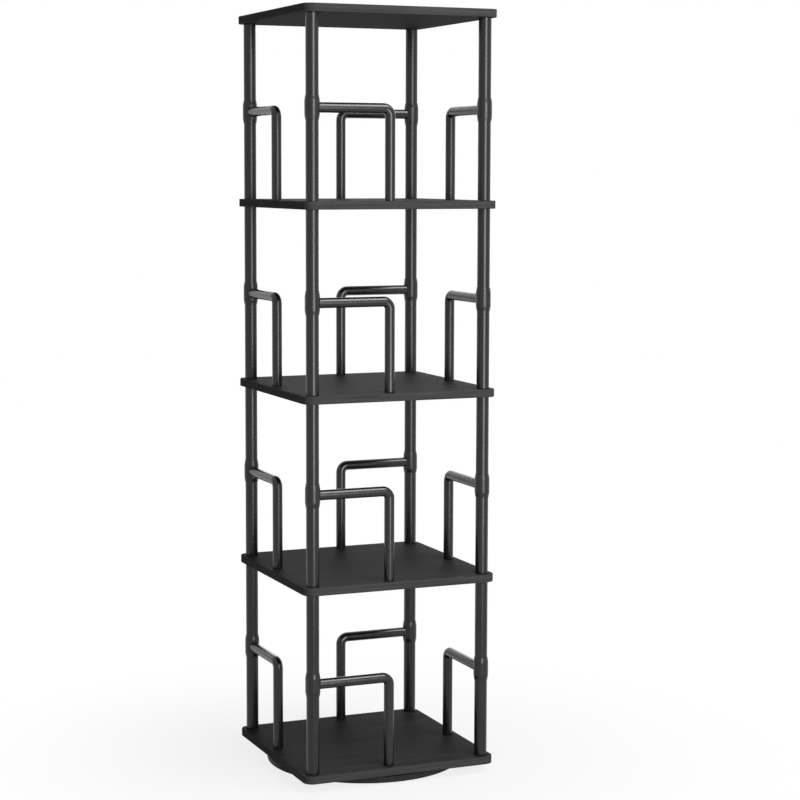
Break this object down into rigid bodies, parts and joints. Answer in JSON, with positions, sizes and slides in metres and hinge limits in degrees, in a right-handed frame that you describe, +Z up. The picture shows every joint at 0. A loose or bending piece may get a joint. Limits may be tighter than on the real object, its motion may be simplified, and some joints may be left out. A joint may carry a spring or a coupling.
{
  "type": "revolving bookcase",
  "caption": "Tall revolving bookcase: square boards on tubular corner posts, bent-tube guards on the sides of every tier, turning as one on a round base with a ball ring.",
  "frame": {"origin": "on the floor, where the axis that the bookcase turns about meets it", "axes": "+Z up along the turning axis, -Y out of the front, +X to the right seen from the front"},
  "size_m": [0.386, 0.386, 1.4479],
  "materials": {
    "board_laminate": "black foil over particle board, satin, with faint lengthwise grain",
    "base_laminate": "black lacquered fibre board, satin",
    "post_paint": "black powder coat on steel tube, semi-gloss",
    "guard_paint": "black powder coat on bent steel tube, semi-gloss",
    "collar_plastic": "moulded black plastic, satin",
    "race_steel": "pressed zinc-plated steel",
    "ball_steel": "polished steel balls in a pressed cage",
    "foot_rubber": "matt black rubber"
  },
  "bodies": {
    "base": {"base_disc": "base_laminate", "foot_ring": "foot_rubber", "lower_race": "race_steel"},
    "ball_ring": {"ball_ring": "ball_steel"},
    "carousel": {"upper_race": "race_steel", "bottom_board": "board_laminate", "lower_shelf": "board_laminate", "middle_shelf": "board_laminate", "upper_shelf": "board_laminate", "top_board": "board_laminate", "bottom_post_front_left": "post_paint", "bottom_post_front_right": "post_paint", "bottom_post_back_right": "post_paint", "bottom_post_back_left": "post_paint", "bottom_collar_front_left": "collar_plastic", "bottom_collar_front_right": "collar_plastic", "bottom_collar_back_right": "collar_plastic", "bottom_collar_back_left": "collar_plastic", "bottom_guard_front": "guard_paint", "bottom_guard_right": "guard_paint", "bottom_guard_back": "guard_paint", "bottom_guard_left": "guard_paint", "lower_post_front_left": "post_paint", "lower_post_front_right": "post_paint", "lower_post_back_right": "post_paint", "lower_post_back_left": "post_paint", "lower_collar_front_left": "collar_plastic", "lower_collar_front_right": "collar_plastic", "lower_collar_back_right": "collar_plastic", "lower_collar_back_left": "collar_plastic", "lower_guard_front": "guard_paint", "lower_guard_right": "guard_paint", "lower_guard_back": "guard_paint", "lower_guard_left": "guard_paint", "upper_post_front_left": "post_paint", "upper_post_front_right": "post_paint", "upper_post_back_right": "post_paint", "upper_post_back_left": "post_paint", "upper_collar_front_left": "collar_plastic", "upper_collar_front_right": "collar_plastic", "upper_collar_back_right": "collar_plastic", "upper_collar_back_left": "collar_plastic", "upper_guard_front": "guard_paint", "upper_guard_right": "guard_paint", "upper_guard_back": "guard_paint", "upper_guard_left": "guard_paint", "top_post_front_left": "post_paint", "top_post_front_right": "post_paint", "top_post_back_right": "post_paint", "top_post_back_left": "post_paint", "top_collar_front_left": "collar_plastic", "top_collar_front_right": "collar_plastic", "top_collar_back_right": "collar_plastic", "top_collar_back_left": "collar_plastic", "top_guard_front": "guard_paint", "top_guard_right": "guard_paint", "top_guard_back": "guard_paint", "top_guard_left": "guard_paint"}
  },
  "joints": [
    {"name": "carousel_spin", "type": "hinge", "parent": "base", "child": "carousel", "pos_m": [0, 0, 0.0127], "axis": [0, 0, 1], "continuous": true},
    {"name": "ball_ring_spin", "type": "hinge", "parent": "base", "child": "ball_ring", "pos_m": [0, 0, 0.0127], "axis": [0, 0, 1], "continuous": true}
  ],
  "couplings": [
    {"joint": "ball_ring_spin", "follows": "carousel_spin", "ratio": 0.5}
  ]
}
